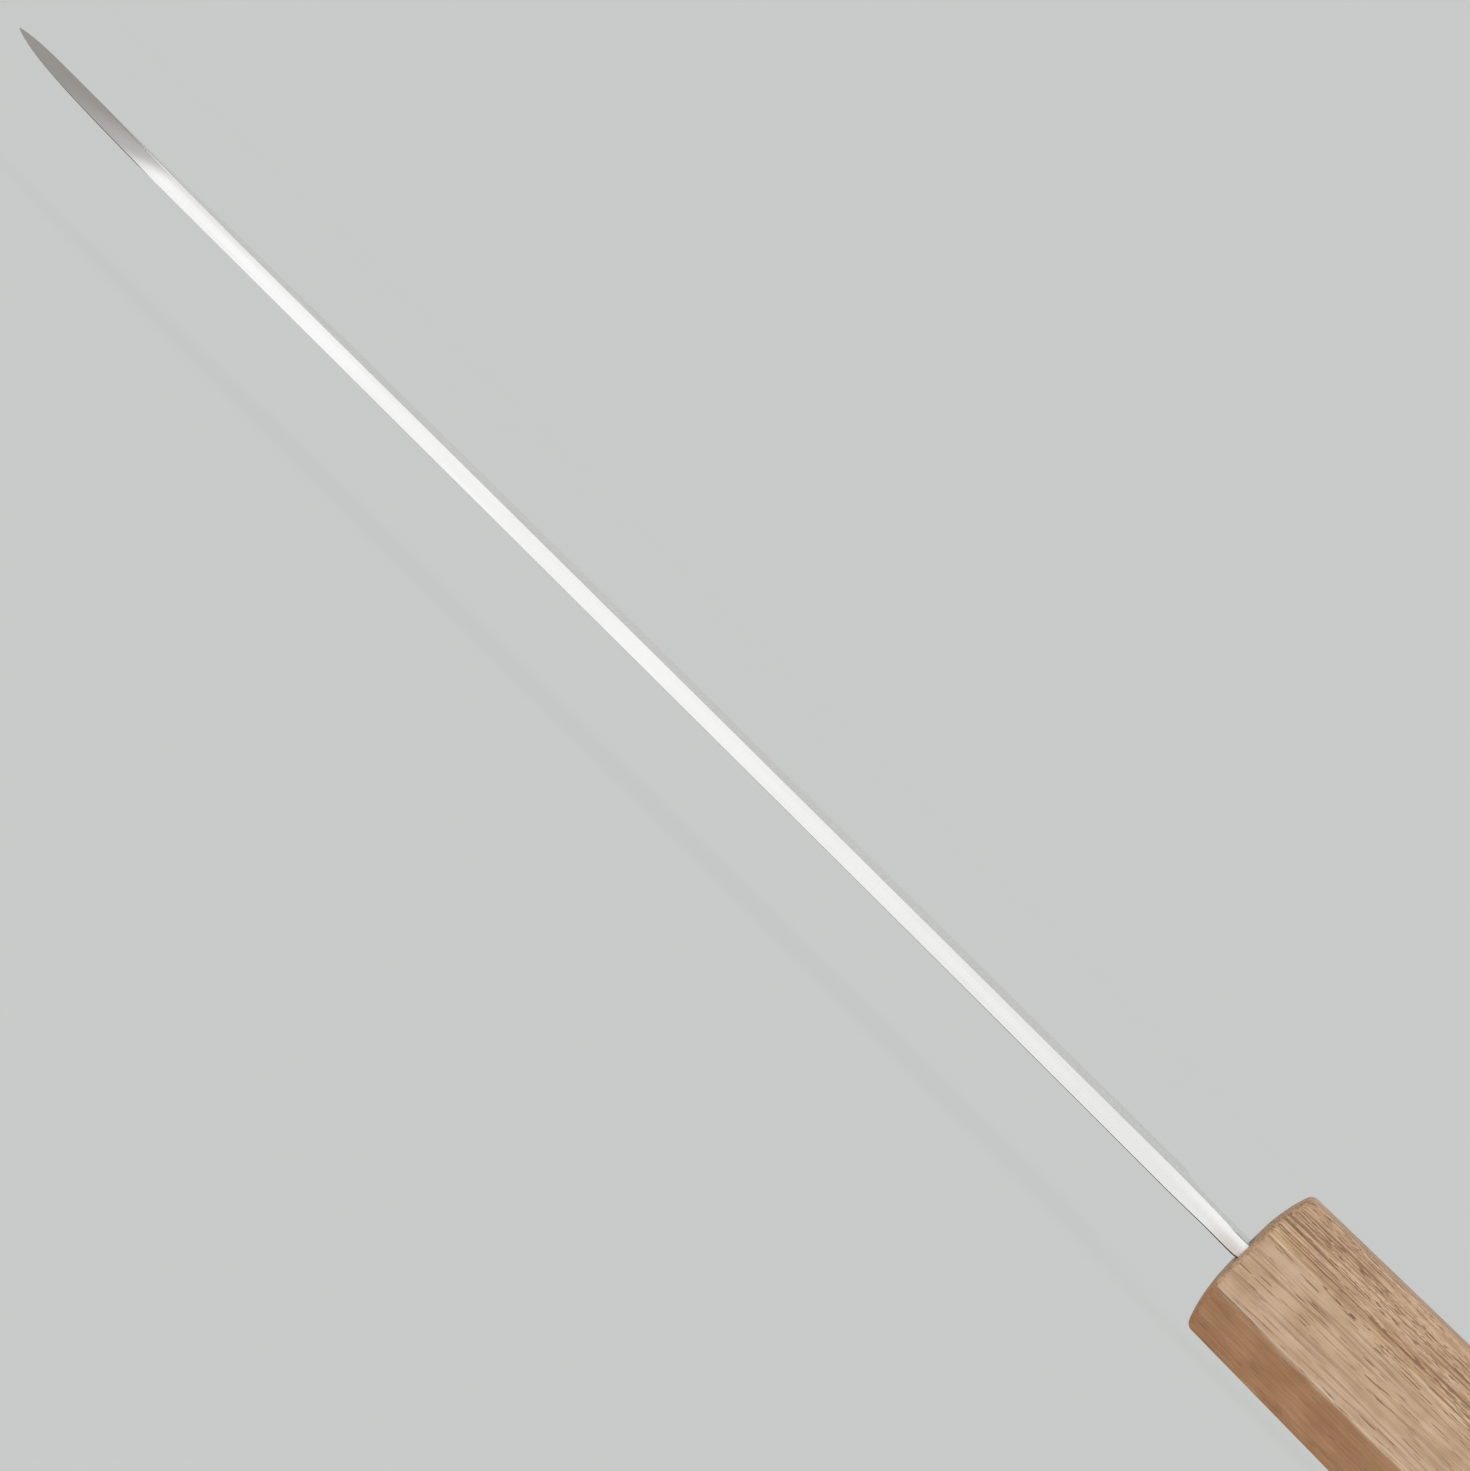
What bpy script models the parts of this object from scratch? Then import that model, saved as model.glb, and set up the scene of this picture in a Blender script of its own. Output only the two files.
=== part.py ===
"""A gyuto, the Japanese cook's knife: a three-layer blade with a hidden tang in an octagonal handle.

The numbers are metres. While the pieces are made, x = 0 is the middle of the handle's front end and +X
runs to the tip, y = 0 is the straight line of the spine and -Y runs to the edge, and z = 0 is the middle
plane of the blade. The knife lies on its side. At the end everything is moved so that the origin is
under the middle of the whole knife, level with the lowest point of the handle.
"""

import math

import bmesh
import bpy
from mathutils import Vector

# Blade, seen from its side
edge_length = 0.210
heel_to_handle = 0.0123
heel_depth = 0.0472
edge_rise = 0.0095
belly_length = 0.092
belly_power = 2.3
tip_drop = 0.0174
tip_drop_length = 0.030
tip_drop_power = 2.2
tip_land = 0.0003

# Blade, seen from its spine: every thickness is the whole one
heel_thickness = 0.00238
distal_taper = 0.00052
distal_power = 1.0
tip_pinch = 0.00172
tip_pinch_length = 0.0031
neck_thickness = 0.00197
spine_ease = 0.00012

# Cross-section: the core's middle bar, and the ground faces that run down to the edge
core_thickness = 0.0009
behind_edge_thickness = 0.00024
grind_power = 1.8
edge_bevel = 0.0008

# Neck, choil and hidden tang
neck_depth = 0.0146
choil_lean = 0.0012
choil_radius = 0.0060
tang_length = 0.090
tang_end_thickness = 0.0015
tang_end_height = 0.0065
tang_start = 0.0015

# Handle
handle_length = 0.138
front_width = 0.0226
rear_width = 0.0271
front_height = 0.0242
rear_height = 0.0284
front_bevel = 0.0066
rear_bevel = 0.0080
top_facet_above_spine = 0.0039
front_fall = 0.00144
front_fall_power = 3.0
blade_off_centre = 0.0006
front_round = 0.0008
butt_round = 0.0012
ridge_ease = 0.00035

# What fills the pocket round the tang
glue_wall = 0.0008
seal_thickness = 0.0015
seal_recess = 0.0003
touch_gap = 0.00015

# Shares that keep small features inside the thin metal near the tip
least_cladding = 1.08
ease_of_cladding = 0.6
ease_of_weld_depth = 0.25
bevel_of_height = 0.25
least_side_of_height = 0.125

# How far the cutting shapes reach past what they cut
past_heel = 1.5
past_tang = 1.2
past_front = 0.010

# How finely curves are cut into flats
blade_steps = 34
tip_steps = 22
tang_steps = 8
face_rows = 9
core_rows = 4
ease_steps = 3
arc_steps = 8
crown_steps = 5
round_segments = 3
ridge_angle = math.radians(20)
smooth_angle = math.radians(30)

# Worked out from the sizes above
tip_x = heel_to_handle + edge_length
handle_centre_y = top_facet_above_spine - front_height / 2
pocket_thickness = neck_thickness + 2 * glue_wall
pocket_depth = tang_length + glue_wall
belly_rise = heel_depth - edge_rise - tip_drop - tip_land
core_half = core_thickness / 2
edge_half = behind_edge_thickness / 2

materials = {
    "core_steel": ((0.72, 0.72, 0.73), 0.22, 1.0),
    "cladding_steel": ((0.62, 0.62, 0.63), 0.34, 1.0),
    "handle_wood": ((0.47, 0.32, 0.21), 0.48, 0.0),
    "tang_resin": ((0.10, 0.075, 0.05), 0.40, 0.0),
    "seal_wax": ((0.16, 0.10, 0.06), 0.55, 0.0),
}


def clear_scene():
    for thing in list(bpy.data.objects):
        bpy.data.objects.remove(thing, do_unlink=True)


def material(name):
    """One material with a plain colour, roughness and metallic value."""
    found = bpy.data.materials.get(name)
    if found:
        return found
    colour, roughness, metallic = materials[name]
    made = bpy.data.materials.new(name)
    made.use_nodes = True
    shader = made.node_tree.nodes["Principled BSDF"]
    shader.inputs["Base Color"].default_value = (*colour, 1.0)
    shader.inputs["Roughness"].default_value = roughness
    shader.inputs["Metallic"].default_value = metallic
    made.diffuse_color = (*colour, 1.0)
    return made


def add_object(name, shape, material_name):
    """Puts a bmesh into the scene as one named object with outward faces."""
    bmesh.ops.recalc_face_normals(shape, faces=shape.faces)
    mesh = bpy.data.meshes.new(name)
    shape.to_mesh(mesh)
    shape.free()
    mesh.materials.append(material(material_name))
    mesh.shade_smooth()
    mesh.set_sharp_from_angle(angle=smooth_angle)
    made = bpy.data.objects.new(name, mesh)
    bpy.context.scene.collection.objects.link(made)
    return made


def as_cutter(tool):
    tool.hide_render = True
    tool.display_type = "WIRE"


def cut(target, tool):
    """Cuts one object with another, which stays in the scene as a guide only."""
    as_cutter(tool)
    modifier = target.modifiers.new("cut by " + tool.name, "BOOLEAN")
    modifier.operation = "DIFFERENCE"
    modifier.solver = "EXACT"
    modifier.object = tool


def loft(rings):
    """A closed skin over rings of points that all have the same count, with a flat cap at each end."""
    shape = bmesh.new()
    loops = [[shape.verts.new(point) for point in ring] for ring in rings]
    count = len(rings[0])
    for near, far in zip(loops, loops[1:]):
        for i in range(count):
            j = (i + 1) % count
            shape.faces.new((near[i], near[j], far[j], far[i]))
    shape.faces.new(loops[0])
    shape.faces.new(loops[-1])
    return shape


def prism(outline, low_z, high_z):
    """An outline in the blade's plane, made solid from one height to another."""
    return loft([[(x, y, z) for x, y in outline] for z in (low_z, high_z)])


def box(low, high):
    """A closed block between two corners."""
    outline = [(low[0], low[1]), (high[0], low[1]), (high[0], high[1]), (low[0], high[1])]
    return prism(outline, low[2], high[2])


def fillet(before, corner, after, radius, steps):
    """The arc of a given radius that rounds one corner of an outline."""
    to_before = (Vector(before) - Vector(corner)).normalized()
    to_after = (Vector(after) - Vector(corner)).normalized()
    half_angle = to_before.angle(to_after) / 2
    centre = Vector(corner) + (to_before + to_after).normalized() * radius / math.sin(half_angle)
    start = Vector(corner) + to_before * radius / math.tan(half_angle) - centre
    end = Vector(corner) + to_after * radius / math.tan(half_angle) - centre
    sweep = start.angle(end)
    points = []
    for i in range(steps + 1):
        t = i / steps
        point = (start * math.sin((1 - t) * sweep) + end * math.sin(t * sweep)) / math.sin(sweep)
        points.append(tuple(centre + point))
    return points


def share(x, start, length):
    """How far x is along a stretch, from 0 at its start to 1 at its end."""
    return min(max((x - start) / length, 0.0), 1.0)


def spine_depth(x):
    """Depth of the spine's top below its straight line: it curves down to the tip and along the tang."""
    if x < -tang_start:
        slope = share(-x, tang_start, tang_length - tang_start)
        return slope * (neck_depth - tang_end_height) / 2
    return tip_drop * share(x, tip_x - tip_drop_length, tip_drop_length) ** tip_drop_power


def edge_depth(x):
    """Depth of the edge below the spine's line: a nearly flat run from the heel, then the belly."""
    belly_start = tip_x - belly_length
    rise = edge_rise * share(x, heel_to_handle, edge_length)
    belly = belly_rise * share(x, belly_start, belly_length) ** belly_power
    return heel_depth - rise - belly


def top_half(x):
    """Half of the thickness at the spine: it thins to the tip, at the neck and along the tang."""
    if x < 0:
        along = share(-x, 0.0, tang_length)
        return (neck_thickness + (tang_end_thickness - neck_thickness) * along) / 2
    if x < heel_to_handle:
        along = share(x, 0.0, heel_to_handle)
        return (neck_thickness + (heel_thickness - neck_thickness) * along) / 2
    along = share(x, heel_to_handle, edge_length)
    pinch = tip_pinch * math.exp((x - tip_x) / tip_pinch_length)
    return (heel_thickness - distal_taper * along**distal_power - pinch) / 2


def face_half(x, depth):
    """Half of the thickness at a depth below the spine's top, on the convex ground face."""
    height = edge_depth(x) - spine_depth(x)
    lost = min(max(depth / height, 0.0), 1.0) ** grind_power
    thin = min(edge_half, top_half(x) / 2)
    return top_half(x) - (top_half(x) - thin) * lost


def weld_depth(x):
    """Depth at which the ground face comes through the cladding and shows the core."""
    height = edge_depth(x) - spine_depth(x)
    left = max(top_half(x) - core_half, 0.0) / (top_half(x) - edge_half)
    return height * left ** (1 / grind_power)


def cladding_end():
    """Where the cladding has been ground away altogether, just behind the tip."""
    thinnest = core_half * least_cladding
    low = tip_x - tip_drop_length
    high = tip_x
    for _ in range(40):
        middle = (low + high) / 2
        if top_half(middle) > thinnest:
            low = middle
        else:
            high = middle
    return low


def stations(end):
    """Places along the knife where its cross-section is drawn, closer together near the tip."""
    curve_start = tip_x - tip_drop_length - tip_pinch_length
    places = [-tang_length + tang_length * i / tang_steps for i in range(tang_steps)]
    places += [-tang_start, 0.0]
    places += [heel_to_handle * i / 3 for i in range(1, 3)]
    places += [
        heel_to_handle + (curve_start - heel_to_handle) * i / blade_steps for i in range(blade_steps)
    ]
    reach = end - curve_start
    places += [curve_start + reach * math.sin(math.pi / 2 * i / tip_steps) for i in range(tip_steps + 1)]
    return sorted(set(places))


def core_ring(x):
    """The core's outline at one station: a bar with flat sides that narrows to the edge."""
    top = -spine_depth(x)
    height = edge_depth(x) - spine_depth(x)
    bevel = min(edge_bevel, height * bevel_of_height)
    shown = max(min(weld_depth(x), height - 2 * bevel), height * least_side_of_height)
    side = [(min(core_half, top_half(x)), 0.0)]
    for i in range(core_rows + 1):
        depth = shown + (height - bevel - shown) * i / core_rows
        side.append((min(core_half, face_half(x, depth)), depth))
    right = [(x, top - depth, half) for half, depth in side]
    left = [(x, top - depth, -half) for half, depth in reversed(side)]
    return right + [(x, top - height, 0.0)] + left


def cladding_ring(x, hand):
    """One cladding's outline at one station: flat against the core, eased at the spine, ground outside."""
    top = -spine_depth(x)
    end = weld_depth(x)
    ease = min(spine_ease, (top_half(x) - core_half) * ease_of_cladding, end * ease_of_weld_depth)
    outline = [(core_half, 0.0)]
    for i in range(ease_steps + 1):
        turn = math.pi / 2 * i / ease_steps
        outline.append((face_half(x, ease) - ease + ease * math.sin(turn), ease - ease * math.cos(turn)))
    for i in range(1, face_rows):
        depth = ease + (end - ease) * i / face_rows
        outline.append((face_half(x, depth), depth))
    outline.append((core_half, end))
    return [(x, top - depth, hand * half) for half, depth in outline]


def neck_outline():
    """What is cut away below the neck and the tang, with the choil and its round top."""
    below = heel_depth * past_heel
    lean = choil_lean / (heel_depth - neck_depth)
    under = -neck_depth
    choil_foot = (heel_to_handle + lean * (below - heel_depth), -below)
    choil_top = (heel_to_handle - choil_lean, under)
    neck_end = (-tang_start, under)
    tang_rise = (neck_depth - tang_end_height) / 2
    tang_low = under + tang_rise * past_tang
    outline = [choil_foot]
    outline += fillet(choil_foot, choil_top, neck_end, choil_radius, arc_steps)
    outline += [neck_end, (-tang_start - (tang_length - tang_start) * past_tang, tang_low)]
    outline.append((-tang_length * past_tang**2, -below))
    return outline


def make_blade():
    """The three bars of the blade, cut to one outline at the neck and the tang."""
    core = add_object("core_steel", loft([core_ring(x) for x in stations(tip_x)]), "core_steel")
    pieces = [core]
    for name, hand in (("cladding_right", 1), ("cladding_left", -1)):
        rings = [cladding_ring(x, hand) for x in stations(cladding_end())]
        pieces.append(add_object(name, loft(rings), "cladding_steel"))
    tool = add_object("neck_cutter", prism(neck_outline(), -heel_thickness, heel_thickness), "core_steel")
    for piece in pieces:
        cut(piece, tool)
    return pieces


def upper_outline(width, height, bevel):
    """Points across the upper half of an octagon, evenly spaced along each of its three facets."""
    ridges = [
        (-width / 2, height / 2 - bevel),
        (-width / 2 + bevel, height / 2),
        (width / 2 - bevel, height / 2),
        (width / 2, height / 2 - bevel),
    ]
    points = [Vector(ridges[0])]
    for start, end in zip(ridges, ridges[1:]):
        for i in range(1, crown_steps + 1):
            points.append(Vector(start).lerp(Vector(end), i / crown_steps))
    return points


def crowned_x(beside):
    """How far the front end falls back beside its middle: hardly at first, and then more and more."""
    return -front_fall * abs(2 * beside / front_width) ** front_fall_power


def handle_corner(front, rear, x, upper):
    """A point on a facet, on the straight line between the front's outline and the butt's."""
    beside, rise = front.lerp(rear, -x / handle_length)
    return Vector((x, handle_centre_y + upper * rise, beside - blade_off_centre))


def handle_body():
    """The octagonal block, in strips across its width so that its front end can be crowned."""
    shape = bmesh.new()
    front_outline = upper_outline(front_width, front_height, front_bevel)
    rear_outline = upper_outline(rear_width, rear_height, rear_bevel)
    rows = []
    for front, rear in zip(front_outline, rear_outline):
        ends = []
        for x in (crowned_x(front[0]), -handle_length):
            ends.append([shape.verts.new(handle_corner(front, rear, x, upper)) for upper in (1, -1)])
        rows.append(ends)
    for near, far in zip(rows, rows[1:]):
        for half in (0, 1):
            shape.faces.new((near[0][half], far[0][half], far[1][half], near[1][half]))
        for end in (0, 1):
            shape.faces.new((near[end][0], far[end][0], far[end][1], near[end][1]))
    for front_end, rear_end in (rows[0], rows[-1]):
        shape.faces.new((front_end[0], front_end[1], rear_end[1], rear_end[0]))
    bmesh.ops.recalc_face_normals(shape, faces=shape.faces)
    return shape


def weigh_edges(shape):
    """Gives each edge that is rounded its share of the widest rounding."""
    weight = shape.edges.layers.float.new("bevel_weight_edge")
    widest = max(front_round, butt_round, ridge_ease)
    for edge in shape.edges:
        faces_along = [abs(face.normal.x) > math.sqrt(0.5) for face in edge.link_faces]
        at_front = edge.verts[0].co.x > -handle_length / 2
        if faces_along[0] != faces_along[1]:
            edge[weight] = (front_round if at_front else butt_round) / widest
        elif edge.calc_face_angle() > ridge_angle:
            edge[weight] = ridge_ease / widest
    return widest


def make_handle():
    """The handle, with eased ridges, rounded ends and the tang's pocket."""
    shape = handle_body()
    widest = weigh_edges(shape)
    handle = add_object("handle", shape, "handle_wood")
    ease = handle.modifiers.new("rounded edges", "BEVEL")
    ease.limit_method = "WEIGHT"
    ease.width = widest
    ease.segments = round_segments
    low = (-pocket_depth, -neck_depth - glue_wall, -pocket_thickness / 2)
    high = (past_front, glue_wall, pocket_thickness / 2)
    cut(handle, add_object("pocket_cutter", box(low, high), "handle_wood"))
    return handle


def make_fillings():
    """The resin that holds the tang in its pocket, and the wax seal in the pocket's mouth."""
    wide = pocket_thickness / 2 - touch_gap
    low_y = -neck_depth - glue_wall + touch_gap
    high_y = glue_wall - touch_gap
    seal_back = -seal_recess - seal_thickness
    spans = {
        "neck_seal": (seal_back, -seal_recess, "seal_wax"),
        "tang_resin": (-pocket_depth + touch_gap, seal_back - touch_gap, "tang_resin"),
    }
    tang_room = add_object("tang_room", loft(tang_room_rings()), "tang_resin")
    made = []
    for name, (back, front, material_name) in spans.items():
        block = add_object(name, box((back, low_y, -wide), (front, high_y, wide)), material_name)
        cut(block, tang_room)
        made.append(block)
    return made


def tang_room_rings():
    """The tang's own shape and a little more, from beyond its end to in front of the handle."""
    rings = []
    ends = [(-tang_length, -touch_gap), (-tang_start, 0.0), (0.0, touch_gap)]
    for x, further in ends:
        half = top_half(x) + touch_gap
        top = touch_gap - spine_depth(x)
        low = -neck_depth + spine_depth(x) - touch_gap
        corners = [(top, -half), (top, half), (low, half), (low, -half)]
        rings.append([(x + further, y, z) for y, z in corners])
    return rings


def put_on_floor(pieces):
    """Hangs every piece on one empty and moves it until the origin is under the middle of the knife."""
    frame = bpy.data.objects.new("knife_frame", None)
    bpy.context.scene.collection.objects.link(frame)
    for thing in list(bpy.context.scene.objects):
        if thing is not frame:
            thing.parent = frame
    bpy.context.view_layer.update()
    graph = bpy.context.evaluated_depsgraph_get()
    corners = []
    for piece in pieces:
        mesh = piece.evaluated_get(graph).to_mesh()
        corners += [piece.matrix_world @ vertex.co for vertex in mesh.vertices]
        piece.evaluated_get(graph).to_mesh_clear()
    low = [min(point[i] for point in corners) for i in range(3)]
    high = [max(point[i] for point in corners) for i in range(3)]
    frame.location = (-(low[0] + high[0]) / 2, -(low[1] + high[1]) / 2, -low[2])
    print("knife_frame is at", [round(value, 5) for value in frame.location])
    print("whole size", [round(b - a, 5) for a, b in zip(low, high)])


clear_scene()
knife = make_blade()
knife.append(make_handle())
knife += make_fillings()
put_on_floor(knife)
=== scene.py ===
# %% [markdown]
# # A gyuto, the Japanese cook's knife
# The knife has a long thin blade of three layers of steel, a hidden tang, and an octagonal wooden handle.
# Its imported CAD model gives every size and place, so it is loaded first and nothing in it is moved. Each
# piece made here is a finer version of a CAD part, in metres and in the same place.

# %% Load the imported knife
import math

import bmesh
import bpy
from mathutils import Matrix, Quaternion, Vector


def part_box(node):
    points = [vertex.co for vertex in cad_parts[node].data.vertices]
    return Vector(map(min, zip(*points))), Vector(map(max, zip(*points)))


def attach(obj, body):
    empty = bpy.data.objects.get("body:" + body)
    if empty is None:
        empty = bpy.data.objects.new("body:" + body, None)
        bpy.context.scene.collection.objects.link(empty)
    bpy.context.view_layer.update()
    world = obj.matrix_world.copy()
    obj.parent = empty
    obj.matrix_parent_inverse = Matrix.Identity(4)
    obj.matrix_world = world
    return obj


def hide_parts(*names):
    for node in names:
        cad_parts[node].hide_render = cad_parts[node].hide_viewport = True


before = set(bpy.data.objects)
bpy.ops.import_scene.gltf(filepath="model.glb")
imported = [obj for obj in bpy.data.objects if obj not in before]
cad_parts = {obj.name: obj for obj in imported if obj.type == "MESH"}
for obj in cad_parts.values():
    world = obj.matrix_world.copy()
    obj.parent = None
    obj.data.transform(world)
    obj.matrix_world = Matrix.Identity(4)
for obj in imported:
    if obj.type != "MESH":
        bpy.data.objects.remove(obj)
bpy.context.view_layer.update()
print("CAD parts:", sorted(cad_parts))

# %% [markdown]
# ## Sizes
# The knife is drawn from its own corner: x runs from the handle's front end to the tip, y is up from the
# straight line of the spine, and z is across the blade. A knife maker thinks in the same numbers: the
# length of the edge, the depth of the heel, the thickness at the spine. Nearly the same values shaped the
# CAD parts, so the fine pieces fit in the places of the plain ones.

# %% The knife's sizes
edge_length = 0.210
heel_to_handle = 0.0123
heel_depth = 0.0472
edge_rise = 0.0095
belly_length = 0.092
belly_power = 2.3
tip_drop = 0.0174
tip_drop_length = 0.030
tip_drop_power = 2.2
tip_land = 0.0003
heel_thickness = 0.00250
distal_taper = 0.00052
distal_power = 1.0
tip_pinch = 0.00186
tip_pinch_length = 0.0033
neck_thickness = 0.00205
core_thickness = 0.0009
behind_edge_thickness = 0.00024
grind_power = 1.8
edge_bevel = 0.0008
neck_depth = 0.0146
choil_lean = 0.0012
choil_radius = 0.0060
tang_length = 0.090
tang_end_thickness = 0.0015
tang_end_height = 0.0065
tang_start = 0.0015
handle_length = 0.138
top_facet_above_spine = 0.0039
front_height = 0.0242
blade_off_centre = 0.0006
glue_wall = 0.0008

tip_x = heel_to_handle + edge_length
belly_rise = heel_depth - edge_rise - tip_drop - tip_land
edge_half = behind_edge_thickness / 2
handle_centre_y = top_facet_above_spine - front_height / 2

core_low, core_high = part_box("core_steel")
corner = Vector((core_high.x - tip_x, core_high.y, (core_low.z + core_high.z) / 2))
print("the knife's own corner is at", [round(value, 5) for value in corner])

# %% [markdown]
# ## Hand work on the spine
# Steel that is ground and polished by hand is never quite even. A spine is a mirror, so a few hundredths of
# a millimetre show as a light or a dark line along its edge. Here the left side is a hair fuller beside the
# neck and the right side behind the tip, the corners are eased most at those places, and the spine is
# crowned near the tip. The CAD parts leave this out.

# %% Swells and eased corners
spine_ease = 0.00002
left_swell = 0.00022
left_swell_reach = 0.028
left_swell_depth = 0.012
left_ease = 0.00012
left_ease_reach = 0.05
neck_ease = 0.00012
neck_ease_reach = 0.004
neck_swell = 0.00011
neck_swell_rise = (0.00025, 0.0004)
neck_swell_fall = (0.0018, 0.0040)
neck_right_ease = 0.00010
tip_ease = 0.00012
tip_ease_start = 0.0276
tip_ease_length = 0.0035
right_swell = 0.00027
right_swell_start = 0.0436
right_swell_rise = 0.018
right_swell_end = 0.0166
right_swell_fall = 0.0134
right_swell_depth = 0.006
spine_crown = 0.0125
crown_fade = 0.04

# %% [markdown]
# ## Camera
# The knife is seen from straight above its spine, from about 1.5 m, and runs from corner to corner of a
# nearly square picture. A long lens keeps the blade from tapering too much in perspective. The camera is
# placed with a point to stand on, a point to look at and a roll, which is easier to reason about than
# three angles.

# %% Camera
camera_stand = Vector((0.03218, 1.52497, 0.07380))
camera_aim = Vector((0.09190, 0.0, 0.00101))
camera_roll = math.radians(44.656)
focal_pixels = 12032.6
picture_side = 1471
sensor_side = 36.0

scene = bpy.context.scene


def show(name, data):
    """A new object in the scene."""
    made = bpy.data.objects.new(name, data)
    scene.collection.objects.link(made)
    return made


def aim(placed, stand, target, roll=0.0):
    """Stands a camera or a light at one point and turns it to another."""
    placed.location = corner + stand
    placed.rotation_mode = "QUATERNION"
    look = (target - stand).to_track_quat("-Z", "Y")
    placed.rotation_quaternion = look @ Quaternion((0, 0, 1), roll)


camera_data = bpy.data.cameras.new("spine_camera")
camera_data.sensor_width = sensor_side
camera_data.lens = focal_pixels * sensor_side / picture_side
camera = show("spine_camera", camera_data)
aim(camera, camera_stand, camera_aim, camera_roll)
scene.camera = camera
print("lens", round(camera_data.lens, 1), "mm, from", round((camera_stand - camera_aim).length, 3), "m")

# %% [markdown]
# ## Helpers for nodes
# Materials and Geometry Nodes are both made of nodes. A few small functions start a material or a group, add
# a node and fill its inputs, with a plain value or with another node's output. An output knows the tree
# that it is in, so sums can be written almost as on paper, and the recipes below stay readable.


# %% Helpers for nodes
def fill(tree, node, inputs):
    """Fills inputs, named or numbered, with a value or with another node's output."""
    for key, value in inputs.items():
        socket = node.inputs[key]
        if isinstance(value, bpy.types.NodeSocket):
            tree.links.new(value, socket)
        else:
            socket.default_value = value


def put(tree, kind, inputs=None, **options):
    """Adds a node with its options and inputs."""
    node = tree.nodes.new(kind)
    for option, value in options.items():
        setattr(node, option, value)
    fill(tree, node, inputs or {})
    return node


def tree_of(*values):
    """The node tree that some values come from."""
    return next(value.id_data for value in values if isinstance(value, bpy.types.NodeSocket))


def sums(operation, *values, clamp=False):
    """One step of arithmetic on numbers."""
    inputs = dict(enumerate(values))
    return put(tree_of(*values), "ShaderNodeMath", inputs, operation=operation, use_clamp=clamp).outputs[0]


def plus(one, other):
    """Two numbers added."""
    return sums("ADD", one, other)


def less(one, other):
    """One number less another."""
    return sums("SUBTRACT", one, other)


def times(value, *others):
    """Two or more numbers multiplied."""
    for other in others:
        value = sums("MULTIPLY", value, other)
    return value


def vector_sums(operation, *values):
    """One step of arithmetic on points."""
    inputs = dict(enumerate(values))
    return put(tree_of(*values), "ShaderNodeVectorMath", inputs, operation=operation).outputs[0]


def apart(vector):
    """The three numbers of a point."""
    return put(tree_of(vector), "ShaderNodeSeparateXYZ", {0: vector}).outputs


def together(x, y, z):
    """A point from three numbers."""
    return put(tree_of(x, y, z), "ShaderNodeCombineXYZ", {0: x, 1: y, 2: z}).outputs[0]


def mixed(factor, near, far, mode="MIX"):
    """Two colours mixed, or one of them tinted by the other."""
    near, far = ((*colour, 1.0) if isinstance(colour, tuple) else colour for colour in (near, far))
    inputs = {"Factor": factor, 6: near, 7: far}
    return put(tree_of(factor), "ShaderNodeMix", inputs, data_type="RGBA", blend_type=mode).outputs[2]


def scaled(value, low, high):
    """A share from 0 to 1 turned into a range of values."""
    inputs = {"Value": value, "To Min": low, "To Max": high}
    return put(tree_of(value), "ShaderNodeMapRange", inputs).outputs[0]


def between(value, start, end):
    """A share that grows smoothly from 0 where the value is at the start to 1 at the end."""
    inputs = {"Value": value, "From Min": start, "From Max": end}
    return put(tree_of(value), "ShaderNodeMapRange", inputs, interpolation_type="SMOOTHSTEP").outputs[0]


def here(tree):
    """The place of each point of a surface."""
    return put(tree, "ShaderNodeTexCoord").outputs["Object"]


def new_group(name, kind, sizes, end, end_kind="NodeSocketFloat"):
    """An empty tree with a named input for each size, and one named output."""
    tree = bpy.data.node_groups.new(name, kind)
    tree.interface.new_socket(end, in_out="OUTPUT", socket_type=end_kind)
    for title, value in sizes.items():
        size_kind = "NodeSocketVector" if isinstance(value, tuple) else "NodeSocketFloat"
        tree.interface.new_socket(title, in_out="INPUT", socket_type=size_kind).default_value = value
    return tree


def new_finish(name):
    """A new material, its tree and its main shader."""
    made = bpy.data.materials.new(name)
    made.use_nodes = True
    return made, made.node_tree, made.node_tree.nodes["Principled BSDF"]


# %% [markdown]
# ## Studio
# The knife is shown over a plain pale grey with hardly a shadow, as in a light tent. The tent is the world's
# own light, drawn as a rule of direction: warm grey walls that glow a little beside the lamp, a broad soft
# lamp overhead, another one towards the butt, and a pale floor. The flat spine mirrors the lamp, which is why
# it is white, and where it turns down near the tip it mirrors the wall instead. A dark flag hangs on the
# left for reflections alone, and draws the dark line along the spine's left edge. Area lights would do as
# well, but their edges show in polished steel, and a rule gives the lamp as soft an edge as it needs. The
# camera itself sees only one even grey. The floor glows in that grey, so it takes hardly a shadow, and one
# broad light from the right brings out the facets of the handle. Every pair of numbers named edge is where
# a light starts and ends.

# %% Light tent
backdrop_colour = (0.578, 0.597, 0.584)
wall_colour = (0.515, 0.487, 0.462)
lamp_colour = (1.70, 1.71, 1.70)
pale_floor_colour = (0.68, 0.69, 0.68)
pale_floor_edge = (-0.5, -0.95)
lamp_slant = Vector((1.0, 0.0, 1.0)).normalized()
lamp_far_edge = (0.33, 0.075)
wall_glow_edge = (0.68, 0.38)
wall_glow_share = 0.2
lamp_left_edge = (-0.55, -0.28)
lamp_near_edge = (-0.20, 0.05)
lamp_low_edge = (0.0, 0.2)
back_lamp_edge = (-0.25, -0.50)
back_lamp_right_edge = (0.42, 0.20)
back_lamp_share = 1.25
flag_edge = (-0.50, -0.70)
flag_colour = (0.04, 0.04, 0.04)

scene.view_settings.view_transform = "Standard"


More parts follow.
